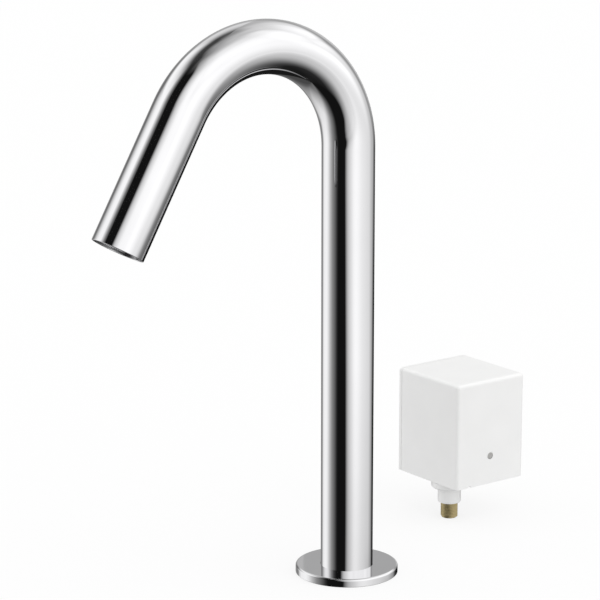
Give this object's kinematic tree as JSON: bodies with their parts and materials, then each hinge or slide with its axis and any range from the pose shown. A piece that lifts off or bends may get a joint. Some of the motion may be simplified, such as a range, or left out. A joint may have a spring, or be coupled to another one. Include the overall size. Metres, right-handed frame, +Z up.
{
  "type": "sensor tap",
  "caption": "Tall deck-mounted sensor tap: a bent round chrome spout on a disc flange, with a white control box that holds its valve, battery and electronics.",
  "frame": {"origin": "centre of the tap's round flange on the top of the deck", "axes": "+Z up along the spout's column, the spout points along -Y, the control box stands behind at +Y with its front towards +X"},
  "size_m": [0.0995, 0.299, 0.3895],
  "materials": {
    "chrome": "bright polished plating",
    "brass": "turned, slightly dulled",
    "nickel": "satin nickel plate",
    "steel": "plain machined",
    "copper_wire": "enamelled wire",
    "black_rubber": "matt",
    "black_plastic": "fine grain",
    "grey_plastic": "fine grain",
    "white_plastic": "smooth moulded",
    "hose_plastic": "milky, smooth",
    "dark_window": "polished, infrared-clear",
    "green_laminate": "solder mask",
    "battery_wrap": "shrunk film"
  },
  "bodies": {
    "tap": {"spout_tube": "chrome", "base_flange": "chrome", "base_seal": "black_rubber", "tube_insert": "brass", "threaded_shank": "brass", "shank_plug": "black_plastic", "water_hose": "hose_plastic", "hose_tail": "nickel", "sensor_cable": "black_plastic", "cable_plug": "black_plastic", "outlet_holder": "black_plastic", "aerator_housing": "chrome", "aerator_grid": "grey_plastic", "aerator_screen": "steel", "aerator_seal": "black_rubber", "sensor_window": "dark_window", "infrared_emitter": "dark_window", "infrared_receiver": "dark_window", "sensor_board": "green_laminate", "box_chassis": "white_plastic", "inlet_collar": "white_plastic", "inlet_stub": "brass", "inlet_strainer": "steel", "check_guide": "black_plastic", "check_spring": "steel", "valve_body": "brass", "valve_bonnet": "black_plastic", "bonnet_screws": "steel", "core_tube": "steel", "core_stop": "steel", "plunger_spring": "steel", "coil_bobbin": "black_plastic", "coil_winding": "copper_wire", "coil_yoke": "steel", "yoke_nut": "steel", "outlet_collet": "grey_plastic", "battery": "battery_wrap", "battery_tray": "grey_plastic", "battery_contacts": "nickel", "circuit_board": "green_laminate", "board_parts": "black_plastic", "cable_grommet": "black_rubber"},
    "clamp": {"deck_gasket": "black_rubber", "clamp_washer": "steel", "fixing_nut": "brass"},
    "cover": {"box_cover": "white_plastic", "cover_screw": "nickel"},
    "check_valve": {"check_poppet": "black_plastic"},
    "plunger": {"plunger": "steel"},
    "piston": {"valve_piston": "grey_plastic", "piston_seal": "black_rubber"}
  },
  "joints": [
    {"name": "clamp_travel", "type": "slide", "parent": "tap", "child": "clamp", "axis": [0, 0, -1], "range_m": [0, 0.022]},
    {"name": "cover_pull", "type": "slide", "parent": "tap", "child": "cover", "axis": [1, 0, 0], "range_m": [0, 0.06]},
    {"name": "check_lift", "type": "slide", "parent": "tap", "child": "check_valve", "axis": [0, 0, 1], "range_m": [0, 0.0015], "stiffness_N_per_m": 60, "springref_m": -0.002, "deforming": ["check_spring"]},
    {"name": "plunger_lift", "type": "slide", "parent": "tap", "child": "plunger", "axis": [0, 0, 1], "range_m": [0, 0.0018], "stiffness_N_per_m": 200, "springref_m": -0.004, "deforming": ["plunger_spring"]},
    {"name": "piston_lift", "type": "slide", "parent": "tap", "child": "piston", "axis": [0, 0, 1], "range_m": [0, 0.00144]}
  ],
  "couplings": [
    {"joint": "piston_lift", "follows": "plunger_lift", "ratio": 0.8}
  ]
}
